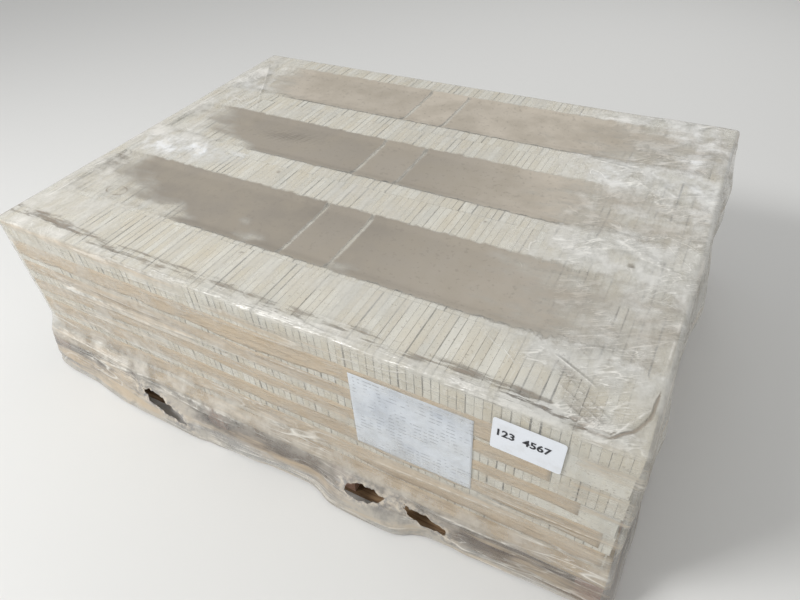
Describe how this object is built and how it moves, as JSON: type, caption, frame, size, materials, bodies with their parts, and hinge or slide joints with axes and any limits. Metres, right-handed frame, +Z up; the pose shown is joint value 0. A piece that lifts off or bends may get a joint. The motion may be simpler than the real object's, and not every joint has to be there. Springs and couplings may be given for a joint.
{
  "type": "pallet of bricks",
  "caption": "Thin clay bricks stood on edge in tight courses with kraft sheets between, on a wooden pallet under a torn clear film hood.",
  "frame": {"origin": "on the floor under the middle of the pallet", "axes": "+Z up, +X along the long side, -Y towards the side with the packing list and the label"},
  "size_m": [1.9066, 1.4478, 0.5844],
  "materials": {
    "brick": "matte cream fired clay",
    "kraft": "matte brown kraft paper",
    "wood": "rough sawn softwood",
    "film": "clear wrinkled film",
    "paper": "white printed paper",
    "label": "satin label stock"
  },
  "bodies": {
    "root": {"brick_course_1": "brick", "brick_course_2": "brick", "brick_course_3": "brick", "brick_course_4": "brick", "brick_course_5": "brick", "brick_course_6": "brick", "slip_sheet_1": "kraft", "slip_sheet_2": "kraft", "slip_sheet_3": "kraft", "slip_sheet_4": "kraft", "slip_sheet_5": "kraft", "deck_board_1": "wood", "deck_board_2": "wood", "deck_board_3": "wood", "deck_board_4": "wood", "deck_board_5": "wood", "deck_board_6": "wood", "deck_board_7": "wood", "deck_board_8": "wood", "stringer_1": "wood", "stringer_2": "wood", "stringer_3": "wood", "stringer_4": "wood", "bottom_board_1": "wood", "bottom_board_2": "wood", "bottom_board_3": "wood", "stretch_hood": "film", "packing_list": "paper", "label": "label"}
  },
  "joints": []
}
